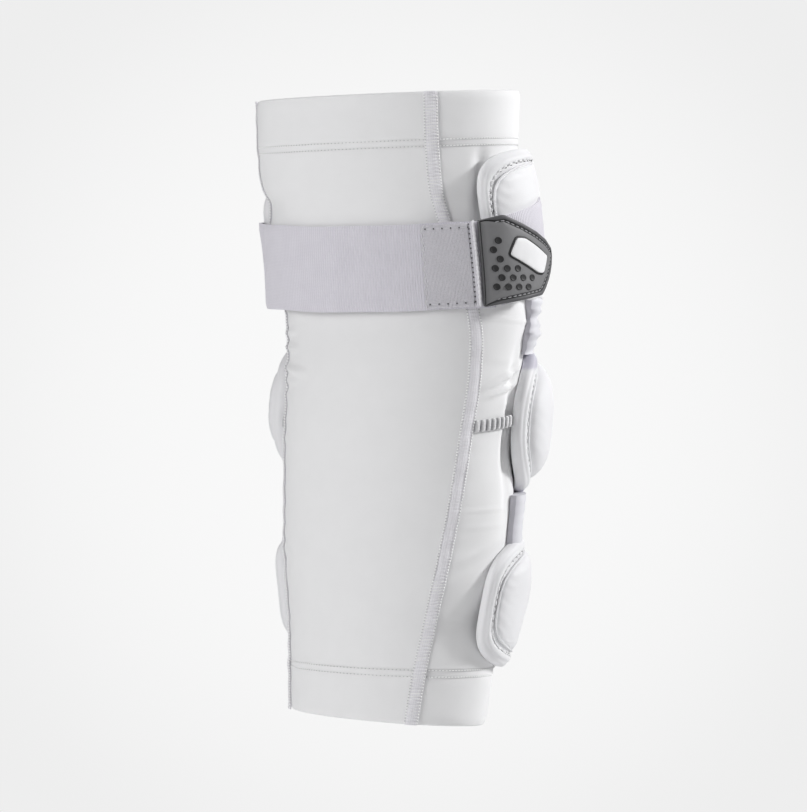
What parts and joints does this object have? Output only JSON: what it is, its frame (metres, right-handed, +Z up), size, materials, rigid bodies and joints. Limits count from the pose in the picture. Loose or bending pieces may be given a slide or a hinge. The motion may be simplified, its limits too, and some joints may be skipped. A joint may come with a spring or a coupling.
{
  "type": "lacrosse arm pad",
  "caption": "Lacrosse arm pad: a knitted sleeve with taped seams and turned hems, foam pads down the outer arm joined by elastic, and a knit strap closed by a rubber pull tab.",
  "frame": {"origin": "on the line through the middles of the two rims, at the height of the elbow", "axes": "+Z up the arm towards the shoulder, +Y out of the elbow through the pads, +X across the arm to the side of the pull tab"},
  "size_m": [0.1739, 0.1247, 0.3267],
  "materials": {
    "sleeve_knit": "matt fine jersey knit, white",
    "hem_knit": "matt fine jersey knit, white, two layers",
    "seam_tape": "matt stretch tape with zigzag stitching, pale grey-lilac",
    "pad_cover": "smooth brushed stretch cover over foam, white",
    "link_elastic": "knitted elastic, pale lilac grey",
    "strap_elastic": "ribbed knitted elastic, pale lilac grey",
    "loop_fabric": "brushed loop fabric, pale grey",
    "tab_rubber": "moulded dark grey rubber, satin",
    "badge_rubber": "light grey raised rubber, satin"
  },
  "bodies": {
    "root": {"sleeve_front_panel": "sleeve_knit", "sleeve_back_panel": "sleeve_knit", "upper_hem": "hem_knit", "lower_hem": "hem_knit", "near_seam_tape": "seam_tape", "far_seam_tape": "seam_tape", "upper_pad_base": "pad_cover", "upper_pad_dome": "pad_cover", "elbow_pad_base": "pad_cover", "elbow_pad_dome": "pad_cover", "lower_pad_base": "pad_cover", "lower_pad_dome": "pad_cover", "upper_link": "link_elastic", "lower_link": "link_elastic", "near_elbow_anchor": "link_elastic", "far_elbow_anchor": "link_elastic", "strap": "strap_elastic", "strap_loop_patch": "loop_fabric", "pull_tab": "tab_rubber", "pull_tab_badge": "badge_rubber"}
  },
  "joints": []
}
